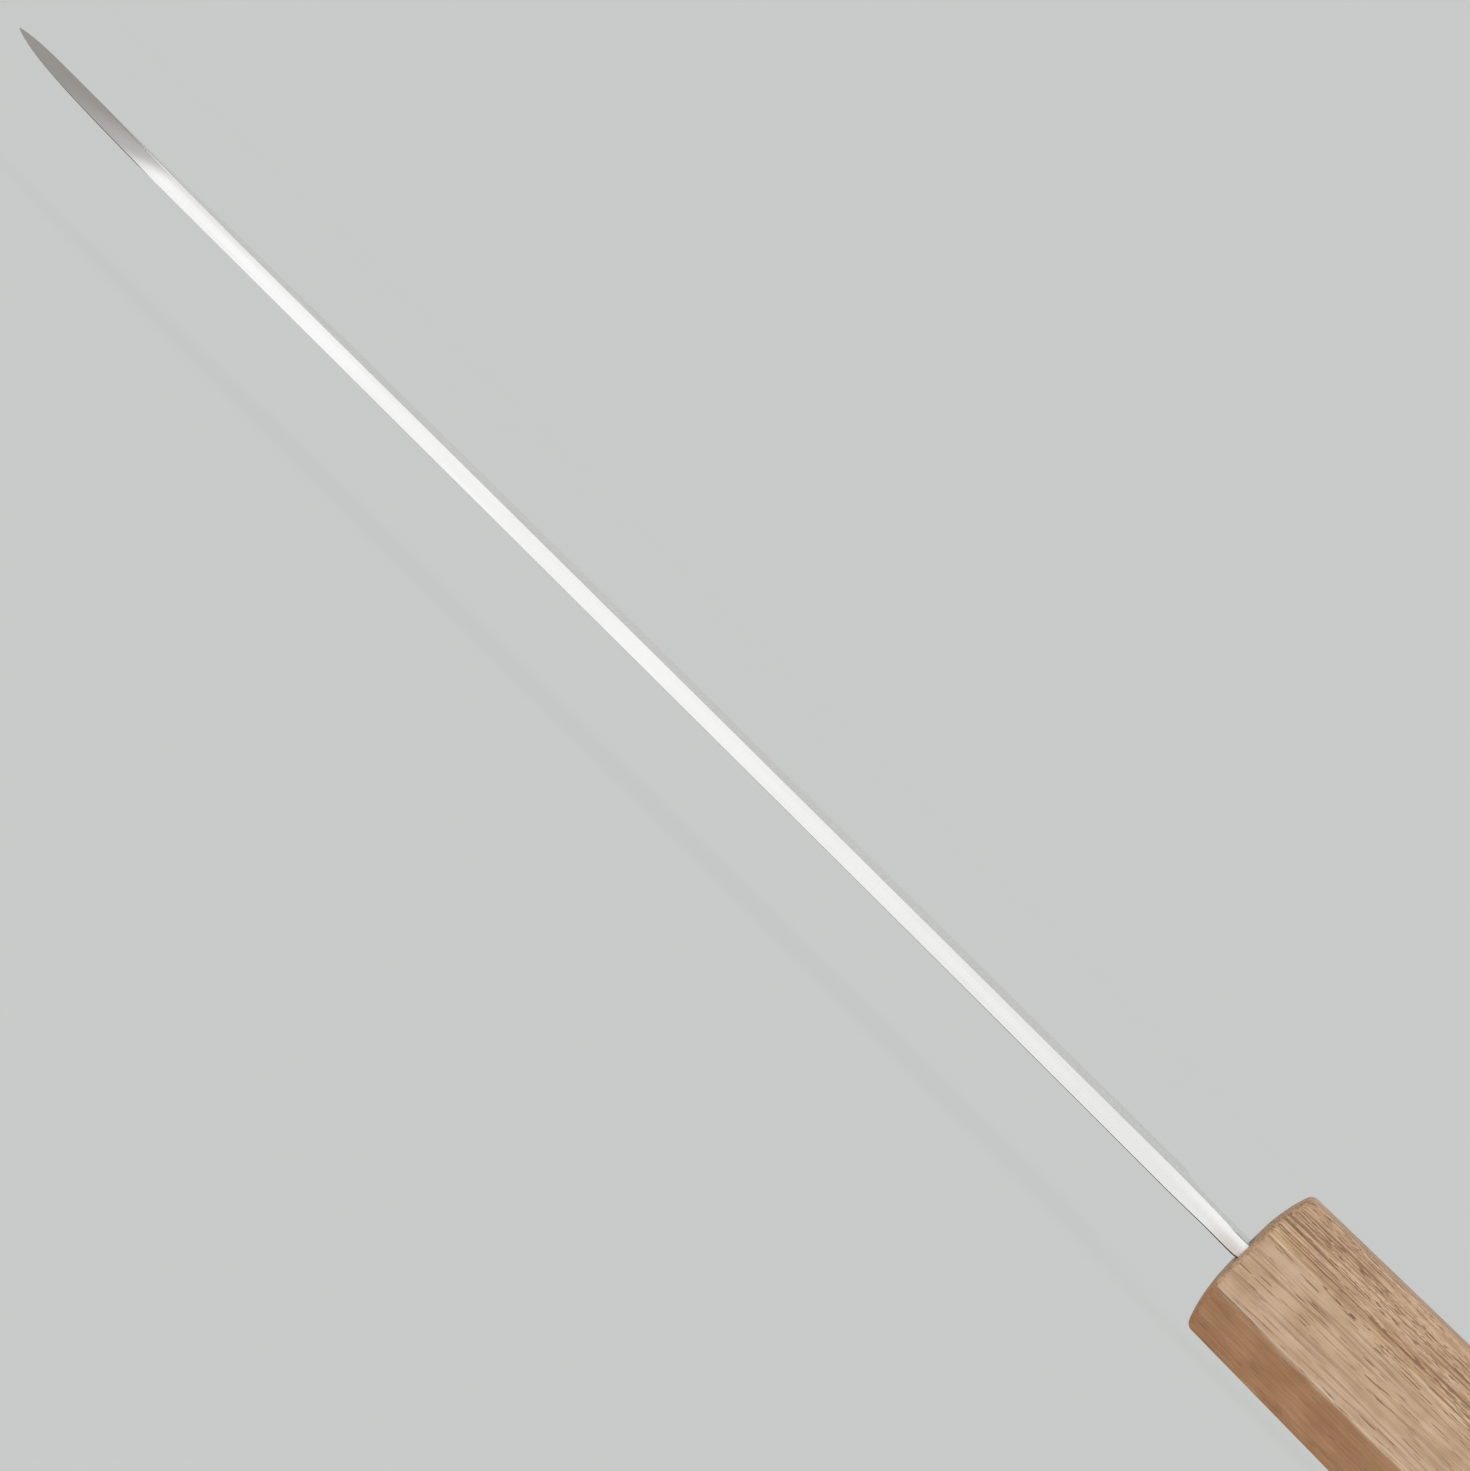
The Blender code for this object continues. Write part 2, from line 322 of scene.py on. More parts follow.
def light_tent():
    """A world that is a soft lamp overhead between grey walls, and one even grey to the camera."""
    world = bpy.data.worlds.new("light_tent")
    world.use_nodes = True
    tree = world.node_tree
    way = put(tree, "ShaderNodeTexCoord").outputs["Generated"]
    along, up, aside = apart(way)
    slant = put(tree, "ShaderNodeVectorMath", {0: way, 1: lamp_slant}, operation="DOT_PRODUCT")
    slant = slant.outputs["Value"]
    glow = times(between(slant, *wall_glow_edge), wall_glow_share)
    lamp = sums("MAXIMUM", between(slant, *lamp_far_edge), glow)
    lamp = times(lamp, between(aside, *lamp_left_edge), between(along, *lamp_near_edge))
    back_lamp = times(between(along, *back_lamp_edge), back_lamp_share)
    back_lamp = times(back_lamp, between(aside, *back_lamp_right_edge))
    lamp = times(plus(lamp, back_lamp), between(up, *lamp_low_edge))
    light = mixed(lamp, wall_colour, lamp_colour)
    light = mixed(between(up, *pale_floor_edge), light, pale_floor_colour)
    ray = put(tree, "ShaderNodeLightPath").outputs
    flag = times(between(aside, *flag_edge), ray["Is Glossy Ray"])
    light = mixed(flag, light, flag_colour)
    light = mixed(ray["Is Camera Ray"], light, backdrop_colour)
    tree.links.new(light, tree.nodes["Background"].inputs["Color"])
    return world


scene.world = light_tent()

# %% Floor
floor_radius = 1.6
floor_fade = (1.2, 0.5)
floor_albedo = 0.05
floor_mottle = 0.03
floor_mottle_scale = 6.0
floor_glow = 0.955


def floor_finish():
    """Pale and mostly lit from within, and clear beyond the fade, where the background takes over."""
    made, tree, shader = new_finish("pale_floor")
    place = here(tree)
    cloud = put(tree, "ShaderNodeTexNoise", {"Vector": place, "Scale": floor_mottle_scale}).outputs["Fac"]
    dark = tuple(floor_albedo * (1 - floor_mottle) * c for c in backdrop_colour)
    light = tuple(floor_albedo * (1 + floor_mottle) * c for c in backdrop_colour)
    away = put(tree, "ShaderNodeVectorMath", {0: place}, operation="LENGTH").outputs["Value"]
    finish = {
        "Base Color": mixed(cloud, dark, light),
        "Roughness": 0.9,
        "Specular IOR Level": 0.0,
        "Emission Color": (*backdrop_colour, 1.0),
        "Emission Strength": floor_glow,
        "Alpha": between(away, *floor_fade),
    }
    fill(tree, shader, finish)
    return made


floor_shape = bmesh.new()
bmesh.ops.create_circle(floor_shape, cap_ends=True, segments=96, radius=floor_radius)
floor_mesh = bpy.data.meshes.new("floor")
floor_shape.to_mesh(floor_mesh)
floor_shape.free()
floor = show("floor", floor_mesh)
floor_mesh.materials.append(floor_finish())
floor.visible_glossy = False
floor.visible_shadow = False
print("floor radius", floor_radius, "m")

# %% Side light
side_light_stand = Vector((-0.1, 0.7, 1.1))
side_light_aim = Vector((-0.02, 0.0, 0.0))
side_light_side = 1.6
side_light_watts = 8.5

side_light = bpy.data.lights.new("side_light", "AREA")
side_light.shape = "RECTANGLE"
side_light.size = side_light_side
side_light.size_y = side_light_side
side_light.energy = side_light_watts
aim(show("side_light", side_light), side_light_stand, side_light_aim)
radiance = side_light_watts / (math.pi * side_light_side**2)
print("side light gives", round(radiance, 2), "of radiance")

# %% [markdown]
# ## The blade's outline and thickness
# A gyuto's spine is straight until it drops to the tip. The edge is nearly straight from the heel and then
# rises in a belly. Behind the heel, the choil runs up to the neck with a round inner corner. The steel is
# thickest at the spine of the heel, thins towards the tip, and is ground convex down to the edge. These
# rules could be drawn as curves, but written as short functions of x they give exact values anywhere, and
# a cross-section can be asked for at any place.


# %% Rules of the blade
def share(x, start, length):
    """How far x is along a stretch, from 0 at its start to 1 at its end."""
    return min(max((x - start) / length, 0.0), 1.0)


def spine_depth(x):
    """Depth of the spine's top below its straight line."""
    if x < -tang_start:
        return share(-x, tang_start, tang_length - tang_start) * (neck_depth - tang_end_height) / 2
    return tip_drop * share(x, tip_x - tip_drop_length, tip_drop_length) ** tip_drop_power


def edge_depth(x):
    """Depth of the edge below the spine's line."""
    rise = edge_rise * share(x, heel_to_handle, edge_length)
    belly = belly_rise * share(x, tip_x - belly_length, belly_length) ** belly_power
    return heel_depth - rise - belly


choil_angle = math.atan2(choil_lean, heel_depth - neck_depth)
choil_middle_y = -neck_depth - choil_radius
choil_line_x = heel_to_handle - choil_lean * (heel_depth + choil_middle_y) / (heel_depth - neck_depth)
choil_middle_x = choil_line_x - choil_radius / math.cos(choil_angle)
choil_end_x = choil_middle_x + choil_radius * math.cos(choil_angle)
choil_end_depth = -choil_middle_y - choil_radius * math.sin(choil_angle)


def lower_depth(x):
    """Depth of the lowest metal: under the tang, the neck, the choil and then the edge."""
    if x <= choil_middle_x:
        slope = share(-x, tang_start, tang_length - tang_start)
        return neck_depth - slope * (neck_depth - tang_end_height) / 2
    if x <= choil_end_x:
        across = x - choil_middle_x
        return -choil_middle_y - math.sqrt(max(choil_radius**2 - across**2, 0.0))
    if x < heel_to_handle:
        along = share(x, choil_end_x, heel_to_handle - choil_end_x)
        return choil_end_depth + (heel_depth - choil_end_depth) * along
    return edge_depth(x)


def top_half(x):
    """Half of the thickness at the spine."""
    if x < 0:
        thinned = (tang_end_thickness - neck_thickness) * share(-x, 0.0, tang_length)
        return (neck_thickness + thinned) / 2
    if x < heel_to_handle:
        grown = (heel_thickness - neck_thickness) * share(x, 0.0, heel_to_handle)
        return (neck_thickness + grown) / 2
    along = share(x, heel_to_handle, edge_length)
    pinch = tip_pinch * math.exp((x - tip_x) / tip_pinch_length)
    return (heel_thickness - distal_taper * along**distal_power - pinch) / 2


def face_half(x, depth):
    """Half of the thickness at a depth below the spine's top, on the convex ground face."""
    lost = share(depth, 0.0, edge_depth(x) - spine_depth(x)) ** grind_power
    thin = min(edge_half, top_half(x) / 2)
    return top_half(x) - (top_half(x) - thin) * lost


def crown_lean(x, half):
    """How much the spine leans beside its middle, in radians: it is polished slightly round near the tip."""
    flatter = math.exp(-max(tip_x - tip_drop_length - x, 0.0) / crown_fade)
    return flatter * half / spine_crown


def crown_depth(x, half):
    """How much lower the spine is beside its middle."""
    return crown_lean(x, half) * half / 2


weld_wave = 0.00003
weld_waves = ((0.5, 0.0078), (0.3, 0.0031), (0.2, 0.00123))
weld_starts = {1: 1.3, -1: 4.1}
weld_steady_length = 0.01


def core_half(x, hand):
    """Half of the core's thickness. Forging makes the weld wander a little, differently on each side."""
    start = weld_starts[hand]
    wave = sum(height * math.sin(x / width + i * start) for i, (height, width) in enumerate(weld_waves, 1))
    half = core_thickness / 2 + weld_wave * wave * share(x, heel_to_handle, weld_steady_length)
    return min(half, top_half(x))


def weld_depth(x, hand):
    """Depth at which the ground face comes through the cladding and shows the core."""
    left = max(top_half(x) - core_half(x, hand), 0.0) / (top_half(x) - edge_half)
    return (edge_depth(x) - spine_depth(x)) * left ** (1 / grind_power)


print("heel", round(heel_depth * 1000, 1), "mm deep, and", heel_thickness * 1000, "mm thick at its spine")
print("core shows", round((heel_depth - weld_depth(0.05, 1)) * 1000, 1), "mm above the edge at 50 mm")

# %% [markdown]
# ## Cross-sections into skins
# Each bar of the blade is a stack of cross-sections, one for each station along the knife. A skin over
# such a stack of rings is called a loft. The alternative is to cut a block with Boolean modifiers, but a
# loft keeps long even rows of faces, so a polished surface reflects smoothly. Stations stand closer where
# the outline turns: round the choil, and towards the tip.

# %% Stations and lofts
blade_stations = 150
tip_stations = 70
choil_stations = 16
neck_stations = 8
tang_stations = 24
face_rows = 34
ease_steps = 6
core_rows = 16
crown_shares = (0.0, 0.25, 0.5, 0.75, 0.97)
least_cladding = 1.08
least_step = 1e-6
meet_distance = 2e-7
sliver_length = 1e-7


def stations(end):
    """Places along the knife where a cross-section is drawn."""
    places = [-tang_length + (tang_length - tang_start) * i / tang_stations for i in range(tang_stations)]
    places += [-tang_start, 0.0, neck_swell_rise[0], sum(neck_swell_rise)]
    places += [choil_middle_x * i / neck_stations for i in range(1, neck_stations)]
    for i in range(choil_stations + 1):
        turn = (math.pi / 2 - choil_angle) * i / choil_stations
        places.append(choil_middle_x + choil_radius * math.sin(turn + choil_angle * i / choil_stations))
    reach = heel_to_handle - choil_end_x
    places += [choil_end_x + reach * i / choil_stations for i in range(1, choil_stations)]
    curve_start = tip_x - tip_drop_length
    straight = curve_start - heel_to_handle
    places += [heel_to_handle + straight * i / blade_stations for i in range(blade_stations)]
    reach = end - curve_start
    for i in range(tip_stations + 1):
        places.append(curve_start + reach * math.sin(math.pi / 2 * i / tip_stations))
    kept = []
    for place in sorted(places):
        if place <= end + 1e-9 and (not kept or place - kept[-1] > least_step):
            kept.append(min(place, end))
    return kept


def skin(rings, closed=False):
    """A shape with faces from ring to ring of points, and from the last to the first if it is closed."""
    shape = bmesh.new()
    loops = [[shape.verts.new(corner + Vector(point)) for point in ring] for ring in rings]
    ends = loops[1:] + loops[:1] if closed else loops[1:]
    for near, far in zip(loops, ends):
        for i in range(len(near)):
            j = (i + 1) % len(near)
            shape.faces.new((near[i], near[j], far[j], far[i]))
    return shape, loops


def piece(name, shape, crease):
    """A closed shape as an object that is smooth but for edges sharper than the crease, in degrees."""
    bmesh.ops.recalc_face_normals(shape, faces=shape.faces)
    mesh = bpy.data.meshes.new(name)
    shape.to_mesh(mesh)
    shape.free()
    mesh.shade_smooth()
    mesh.set_sharp_from_angle(angle=math.radians(crease))
    print(name, len(mesh.polygons), "faces")
    return show(name, mesh)


def loft(name, rings):
    """A closed skin over rings of points, with its ends capped and points that meet merged."""
    shape, loops = skin(rings)
    shape.faces.new(loops[0])
    shape.faces.new(loops[-1])
    bmesh.ops.remove_doubles(shape, verts=shape.verts, dist=meet_distance)
    bmesh.ops.dissolve_degenerate(shape, edges=shape.edges, dist=sliver_length)
    return piece(name, shape, 35)


# %% [markdown]
# ## The blade's three layers
# A laminated blade is a bar of hard steel between two softer ones, forge-welded together. The grinding
# cuts through the soft cladding towards the edge, so the hard core shows as a brighter band there, with a
# slightly wandering line between them. The core also shows as a strip along the middle of the spine, but
# there all three are polished together. One solid with a painted line would look alike from afar. Three
# bars are made here, because they are three pieces of steel on the real knife.

# %% Core and cladding
ease_room_share = 0.6
ease_depth_share = 0.25
under_share = 0.5
support_row = 0.02
bevel_share = 0.25
least_shown = 0.05
halvings = 40


def near_tip(x):
    """How much fuller, and how much rounder, the spine is on its right just behind the tip."""
    rise = share(x, tip_x - right_swell_start, right_swell_rise)
    fall = share(x, tip_x - right_swell_end, right_swell_fall)
    return right_swell * rise * (1.0 - fall)


def beside_handle(x):
    """1 on the neck right in front of the wax, where it is fuller on its left and rounder on its right."""
    return share(x, *neck_swell_rise) * (1.0 - share(x, *neck_swell_fall))


def corner_ease(x, hand):
    """How much a corner of the spine is rounded: most behind the tip and beside the neck."""
    if hand > 0:
        return spine_ease + near_tip(x) + neck_right_ease * beside_handle(x)
    near_handle = left_ease * math.exp(-max(x, 0.0) / left_ease_reach)
    beside_neck = neck_ease * math.exp(-max(x, 0.0) / neck_ease_reach)
    at_tip = tip_ease * share(x, tip_x - tip_ease_start, tip_ease_length)
    return spine_ease + near_handle + beside_neck + at_tip


def skin_half(x, depth, hand):
    """Half of the thickness on one side: fuller on the left near the handle, on the right at the tip."""
    if hand > 0:
        return face_half(x, depth) + near_tip(x) * (1.0 - share(depth, 0.0, right_swell_depth))
    fuller = left_swell * math.exp(-max(x, 0.0) / left_swell_reach) + neck_swell * beside_handle(x)
    return face_half(x, depth) + fuller * (1.0 - share(depth, 0.0, left_swell_depth))


def bottom_ease(x, half, room):
    """How much the lower corners are rounded: under the neck and the tang, but not at the edge."""
    if x >= heel_to_handle:
        return 0.0
    return max(min(spine_ease, half * under_share, room * ease_depth_share), 0.0)


def cladding_ring(x, hand):
    """One cladding's outline: flat against the core, eased at the spine, ground outside."""
    top = -spine_depth(x)
    low = lower_depth(x) - spine_depth(x)
    inner = core_half(x, hand)
    end = min(weld_depth(x, hand), low)
    end_half = max(skin_half(x, end, hand), inner)
    room = (skin_half(x, 0.0, hand) - inner) * ease_room_share
    ease = max(min(corner_ease(x, hand), room, end * ease_depth_share), 0.0)
    under = bottom_ease(x, end_half - inner, end)
    widest = max(skin_half(x, ease, hand), inner + ease)
    lean = crown_lean(x, widest - ease)
    start = widest - ease * (1 - math.sin(lean))
    upper = crown_depth(x, start) + ease * math.cos(lean)
    outline = []
    for part in crown_shares:
        half = inner + (start - inner) * part
        outline.append((half, crown_depth(x, half)))
    for i in range(ease_steps + 1):
        turn = lean + (math.pi / 2 - lean) * i / ease_steps
        outline.append((widest - ease * (1 - math.sin(turn)), upper - ease * math.cos(turn)))
    for i in range(face_rows):
        depth = upper + (end - under - upper) * max(i, support_row) / face_rows
        outline.append((max(skin_half(x, depth, hand), inner), depth))
    for i in range(ease_steps + 1):
        turn = math.pi / 2 * i / ease_steps
        half = max(skin_half(x, end - under, hand), inner + under) - under + under * math.cos(turn)
        outline.append((half, end - under + under * math.sin(turn)))
    outline.append((inner, end))
    return [(x, top - depth, hand * half) for half, depth in outline]


def core_side(x, hand):
    """One side of the core's outline, from the spine down to where it is ground and on to its foot."""
    height = edge_depth(x) - spine_depth(x)
    low = lower_depth(x) - spine_depth(x)
    bevel = min(edge_bevel, height * bevel_share) if x >= heel_to_handle else 0.0
    shown = max(min(weld_depth(x, hand), low - 2 * bevel), height * least_shown)
    crown = [core_half(x, hand) * part for part in crown_shares[1:-1] + (1.0,)]
    side = [(half, crown_depth(x, half)) for half in crown]
    for i in range(core_rows + 1):
        depth = shown + (low - bevel - shown) * i / core_rows
        side.append((min(core_half(x, hand), face_half(x, depth)), depth))
    foot = 0.0 if x >= heel_to_handle else min(core_half(x, hand), face_half(x, low))
    side.append((foot, low))
    return side


def core_ring(x):
    """The core's outline at one station."""
    top = -spine_depth(x)
    right = [(x, top - depth, half) for half, depth in core_side(x, 1)]
    left = [(x, top - depth, -half) for half, depth in reversed(core_side(x, -1))]
    return [(x, top, 0.0)] + right + left


def cladding_end(hand):
    """Where the cladding has been ground away altogether, just behind the tip."""
    low = tip_x - tip_drop_length
    high = tip_x
    for _ in range(halvings):
        middle = (low + high) / 2
        if top_half(middle) > core_half(middle, hand) * least_cladding:
            low = middle
        else:
            high = middle
    return low


blade_core = loft("blade_core", [core_ring(x) for x in stations(tip_x)])
right_rings = [cladding_ring(x, 1) for x in stations(cladding_end(1))]
left_rings = [cladding_ring(x, -1) for x in stations(cladding_end(-1))]
blade_cladding_right = loft("blade_cladding_right", right_rings)
blade_cladding_left = loft("blade_cladding_left", left_rings)
print("the cladding ends", round((tip_x - cladding_end(1)) * 1000, 1), "mm behind the tip")

# %% [markdown]
# ## The handle's shape
# The handle is an octagon that grows towards the butt, with its ridges just taken off by hand, a front end
# that is crowned across and rounded, and a slot for the tang. All of it follows from a few sizes, so the
# shape is a Geometry Nodes tree with those sizes as its inputs. The tree fillets a rectangle twice, once
# for the bevels and once for the ridges, at the front and at the butt. Then it lays a grid over the two
# outlines: along the grid a ring goes out from the middle of the front end, over its rounded edge, down
# the length, and in again at the butt. A Bevel modifier on a block would round the ridges too, but it
# can't crown the front and keep even rows.

# %% Handle recipe
handle_sizes = {
    "Length": handle_length,
    "Front Width": 0.0226,
    "Front Height": front_height,
    "Front Bevel": 0.0066,
    "Rear Width": 0.0271,
    "Rear Height": 0.0284,
    "Rear Bevel": 0.0080,
    "Ridge Radius": 0.0004,
    "Front Fall": 0.00144,
    "Fall Power": 3.0,
    "Front Round": 0.0008,
    "Butt Round": 0.0012,
    "Slot Length": tang_length + glue_wall,
    "Slot Height": neck_depth + 2 * glue_wall,
    "Slot Width": neck_thickness + 2 * glue_wall,
    "Off Centre": blade_off_centre,
}
arc_points = 7
flat_points = 9
rings_along = 170
cap_share = 0.10
slot_overreach = 0.010
sides = 8


def octagon(tree, width, height, bevel, ridge):
    """A closed outline of eight facets with rounded ridges."""
    sizes = {"Width": width, "Height": height}
    curve = put(tree, "GeometryNodeCurvePrimitiveQuadrilateral", sizes).outputs[0]
    for count, radius in ((1, bevel), (arc_points - 1, ridge)):
        inputs = {"Curve": curve, "Count": count, "Radius": radius}
        curve = put(tree, "GeometryNodeFilletCurve", inputs, mode="POLY").outputs[0]
    return curve


def outline_point(curve, index):
    """The place of one point of an outline."""
    tree = tree_of(curve)
    place = put(tree, "GeometryNodeInputPosition").outputs[0]
    inputs = {"Geometry": curve, "Value": place, "Index": index}
    return put(tree, "GeometryNodeSampleIndex", inputs, data_type="FLOAT_VECTOR", domain="POINT").outputs[0]


def rounded_inset(away, radius):
    """How far a rounded edge falls in at a distance from the end of the handle."""
    left = sums("MAXIMUM", less(radius, away), 0.0)
    inside = less(times(radius, radius), times(left, left))
    return less(radius, sums("SQRT", sums("MAXIMUM", inside, 0.0)))


def front_fallen(size, beside):
    """How far the front end falls back beside its middle: hardly at first, and then more and more."""
    out = sums("DIVIDE", sums("ABSOLUTE", beside), times(size["Front Width"], 0.5))
    return times(sums("POWER", out, size["Fall Power"]), times(size["Front Fall"], -1.0))


def blend_points(factor, near, far):
    """A point between two others."""
    inputs = {"Factor": factor, 4: near, 5: far}
    return put(tree_of(factor), "ShaderNodeMix", inputs, data_type="VECTOR").outputs[1]


def handle_recipe():
    """The tree that makes the whole handle."""
    tree = new_group("octagon_handle", "GeometryNodeTree", handle_sizes, "Geometry", "NodeSocketGeometry")
    tree.interface.new_socket("Finish", in_out="INPUT", socket_type="NodeSocketMaterial")
    size = put(tree, "NodeGroupInput").outputs
    length = size["Length"]
    around = sides * (arc_points + flat_points)
    grid = put(tree, "GeometryNodeMeshGrid", {"Vertices X": rings_along, "Vertices Y": around + 1})
    index = put(tree, "GeometryNodeInputIndex").outputs[0]
    step = sums("FLOORED_MODULO", index, around + 1)
    ring = sums("FLOOR", sums("DIVIDE", index, around + 1))

    run = arc_points + flat_points
    ridge_number = sums("FLOORED_MODULO", sums("FLOOR", sums("DIVIDE", step, run)), sides)
    inside_run = sums("FLOORED_MODULO", step, run)
    first = times(ridge_number, arc_points)
    near_index = plus(first, sums("MINIMUM", inside_run, arc_points - 1))
    far_index = sums("FLOORED_MODULO", plus(first, arc_points), sides * arc_points)
    past_arc = sums("MAXIMUM", less(inside_run, arc_points - 1), 0.0)
    across = sums("DIVIDE", past_arc, flat_points + 1)

    way = sums("DIVIDE", ring, rings_along - 1)
    from_front = sums("DIVIDE", way, cap_share)
    from_butt = sums("DIVIDE", less(1.0, way), cap_share)
    cap = sums("MINIMUM", sums("MINIMUM", from_front, from_butt), 1.0)
    middle = sums("DIVIDE", less(way, cap_share), 1 - 2 * cap_share, clamp=True)
    turned = sums("COSINE", times(middle, math.pi))
    shared = times(less(1.0, turned), 0.5)
    away = times(shared, length)

    ends = {}
    for end in ("Front", "Rear"):
        sizes = [size[f"{end} {what}"] for what in ("Width", "Height", "Bevel")]
        outline = octagon(tree, *sizes, size["Ridge Radius"])
        near = outline_point(outline, near_index)
        far = outline_point(outline, far_index)
        ends[end] = blend_points(across, near, far)
    beside_front = apart(ends["Front"])[0]
    back = less(1.0, shared)
    fallen = times(front_fallen(size, beside_front), back)
    along = sums("DIVIDE", less(away, fallen), length)
    section = blend_points(along, ends["Front"], ends["Rear"])

    front_inset = rounded_inset(away, size["Front Round"])
    butt_inset = rounded_inset(less(length, away), size["Butt Round"])
    half = times(size["Front Width"], 0.5)
    inset = sums("DIVIDE", plus(front_inset, butt_inset), half)
    shrink = times(less(1.0, inset), cap)
    section = put(tree, "ShaderNodeVectorMath", {0: section, "Scale": shrink}, operation="SCALE").outputs[0]
    beside, rise, _ = apart(section)
    fallen = times(front_fallen(size, beside), back)
    place = together(
        plus(less(fallen, away), corner.x),
        plus(rise, corner.y + handle_centre_y),
        plus(less(beside, size["Off Centre"]), corner.z),
    )
    shaped = put(tree, "GeometryNodeSetPosition", {"Geometry": grid.outputs[0], "Position": place})
    on_arc = sums("LESS_THAN", inside_run, arc_points - 0.5)
    inputs = {"Geometry": shaped.outputs[0], "Name": "ridge", "Value": on_arc}
    marked = put(tree, "GeometryNodeStoreNamedAttribute", inputs, data_type="FLOAT", domain="POINT")
    closed = put(tree, "GeometryNodeMergeByDistance", {"Geometry": marked.outputs[0], "Distance": 1e-6})

    slot_long = plus(size["Slot Length"], slot_overreach)
    slot_size = together(slot_long, size["Slot Height"], size["Slot Width"])
    slot = put(tree, "GeometryNodeMeshCube", {"Size": slot_size})
    slot_x = less(slot_overreach, times(slot_long, 0.5))
    slot_place = together(plus(slot_x, corner.x), corner.y - neck_depth / 2, corner.z)
    moved = put(tree, "GeometryNodeTransform", {"Geometry": slot.outputs[0], "Translation": slot_place})
    inputs = {"Mesh 1": closed.outputs[0], "Mesh 2": moved.outputs[0]}
    cut = put(tree, "GeometryNodeMeshBoolean", inputs, operation="DIFFERENCE", solver="EXACT")
    whole = put(tree, "GeometryNodeRealizeInstances", {"Geometry": cut.outputs[0]})
    done = put(tree, "GeometryNodeSetMaterial", {"Geometry": whole.outputs[0], "Material": size["Finish"]})
    put(tree, "NodeGroupOutput", {"Geometry": done.outputs[0]})
    return tree


def grow(name, tree, sizes, finish):
    """Runs a tree on an empty mesh and keeps the result as a plain mesh."""
    seed = show(name + "_seed", bpy.data.meshes.new(name + "_seed"))
    modifier = seed.modifiers.new(name, "NODES")
    modifier.node_group = tree
    given = {**sizes, "Finish": finish}
    for item in tree.interface.items_tree:
        if item.in_out == "INPUT":
            modifier[item.identifier] = given[item.name]
    return settle(name, seed)


def settle(name, seed):
    """The evaluated mesh of an object as a new plain object in place of it."""
    graph = bpy.context.evaluated_depsgraph_get()
    mesh = bpy.data.meshes.new_from_object(seed.evaluated_get(graph))
    bpy.data.objects.remove(seed)
    mesh.name = name
    return show(name, mesh)


# %% [markdown]
# ## Effects that several finishes share
# Fine straight lines are what a grinding belt leaves on steel and what fibres are in wood. Broad clouds of
# tone are in every natural or handled surface. Each effect is a shader node group with named inputs, made
# once, and gets its own numbers in every material.


# %% Shared effects
def lines_effect():
    """Noise drawn out along one direction, by a size for each axis."""
    sizes = {
        "Grain Size": (0.04, 0.001, 0.001),
        "Detail": 2.0,
        "Softness": 0.2,
        "Middle": 0.5,
        "Seed": 0.0,
        "Tilt": (0.0, 0.0, 0.0),
        "Waver": 0.0,
    }
    tree = new_group("drawn_lines", "ShaderNodeTree", sizes, "Lines")
    given = put(tree, "NodeGroupInput").outputs
    place = here(tree)
    bend = put(tree, "ShaderNodeTexNoise", {"Vector": place, "Scale": 35.0, "Detail": 1.0}).outputs["Color"]
    bend = vector_sums("SUBTRACT", bend, (0.5, 0.5, 0.5))
    bend = put(tree, "ShaderNodeVectorMath", {0: bend, "Scale": given["Waver"]}, operation="SCALE").outputs[0]
    place = vector_sums("ADD", place, bend)
    turned = put(tree, "ShaderNodeMapping", {"Vector": place, "Rotation": given["Tilt"]}).outputs[0]
    sized = vector_sums("DIVIDE", turned, given["Grain Size"])
    moved = vector_sums("ADD", sized, together(given["Seed"], given["Seed"], given["Seed"]))
    inputs = {"Vector": moved, "Scale": 1.0, "Detail": given["Detail"], "Roughness": 0.6}
    noise = put(tree, "ShaderNodeTexNoise", inputs).outputs["Fac"]
    low = less(given["Middle"], given["Softness"])
    high = plus(given["Middle"], given["Softness"])
    put(tree, "NodeGroupOutput", {"Lines": between(noise, low, high)})
    return tree


def clouds_effect():
    """Soft broad patches."""
    tree = new_group("soft_clouds", "ShaderNodeTree", {"Size": 0.02, "Seed": 0.0}, "Clouds")
    given = put(tree, "NodeGroupInput").outputs
    scale = sums("DIVIDE", 1.0, given["Size"])
    inputs = {"Vector": here(tree), "W": given["Seed"], "Scale": scale, "Detail": 3.0}
    noise = put(tree, "ShaderNodeTexNoise", inputs, noise_dimensions="4D").outputs["Fac"]
    put(tree, "NodeGroupOutput", {"Clouds": between(noise, 0.3, 0.7)})
    return tree


drawn_lines = lines_effect()
soft_clouds = clouds_effect()


def lines(tree, size, **inputs):
    """The drawn-lines effect with its own sizes."""
    sizes = {name.title(): value for name, value in inputs.items()}
    return put(tree, "ShaderNodeGroup", {"Grain Size": size, **sizes}, node_tree=drawn_lines).outputs[0]


def clouds(tree, size, seed):
    """The soft-clouds effect with its own size."""
    return put(tree, "ShaderNodeGroup", {"Size": size, "Seed": seed}, node_tree=soft_clouds).outputs[0]


def bump(height, strength, distance, normal=None):
    """A surface relief from a height."""
    inputs = {"Height": height, "Strength": strength, "Distance": distance}
    if normal is not None:
        inputs["Normal"] = normal
    return put(tree_of(height), "ShaderNodeBump", inputs).outputs[0]


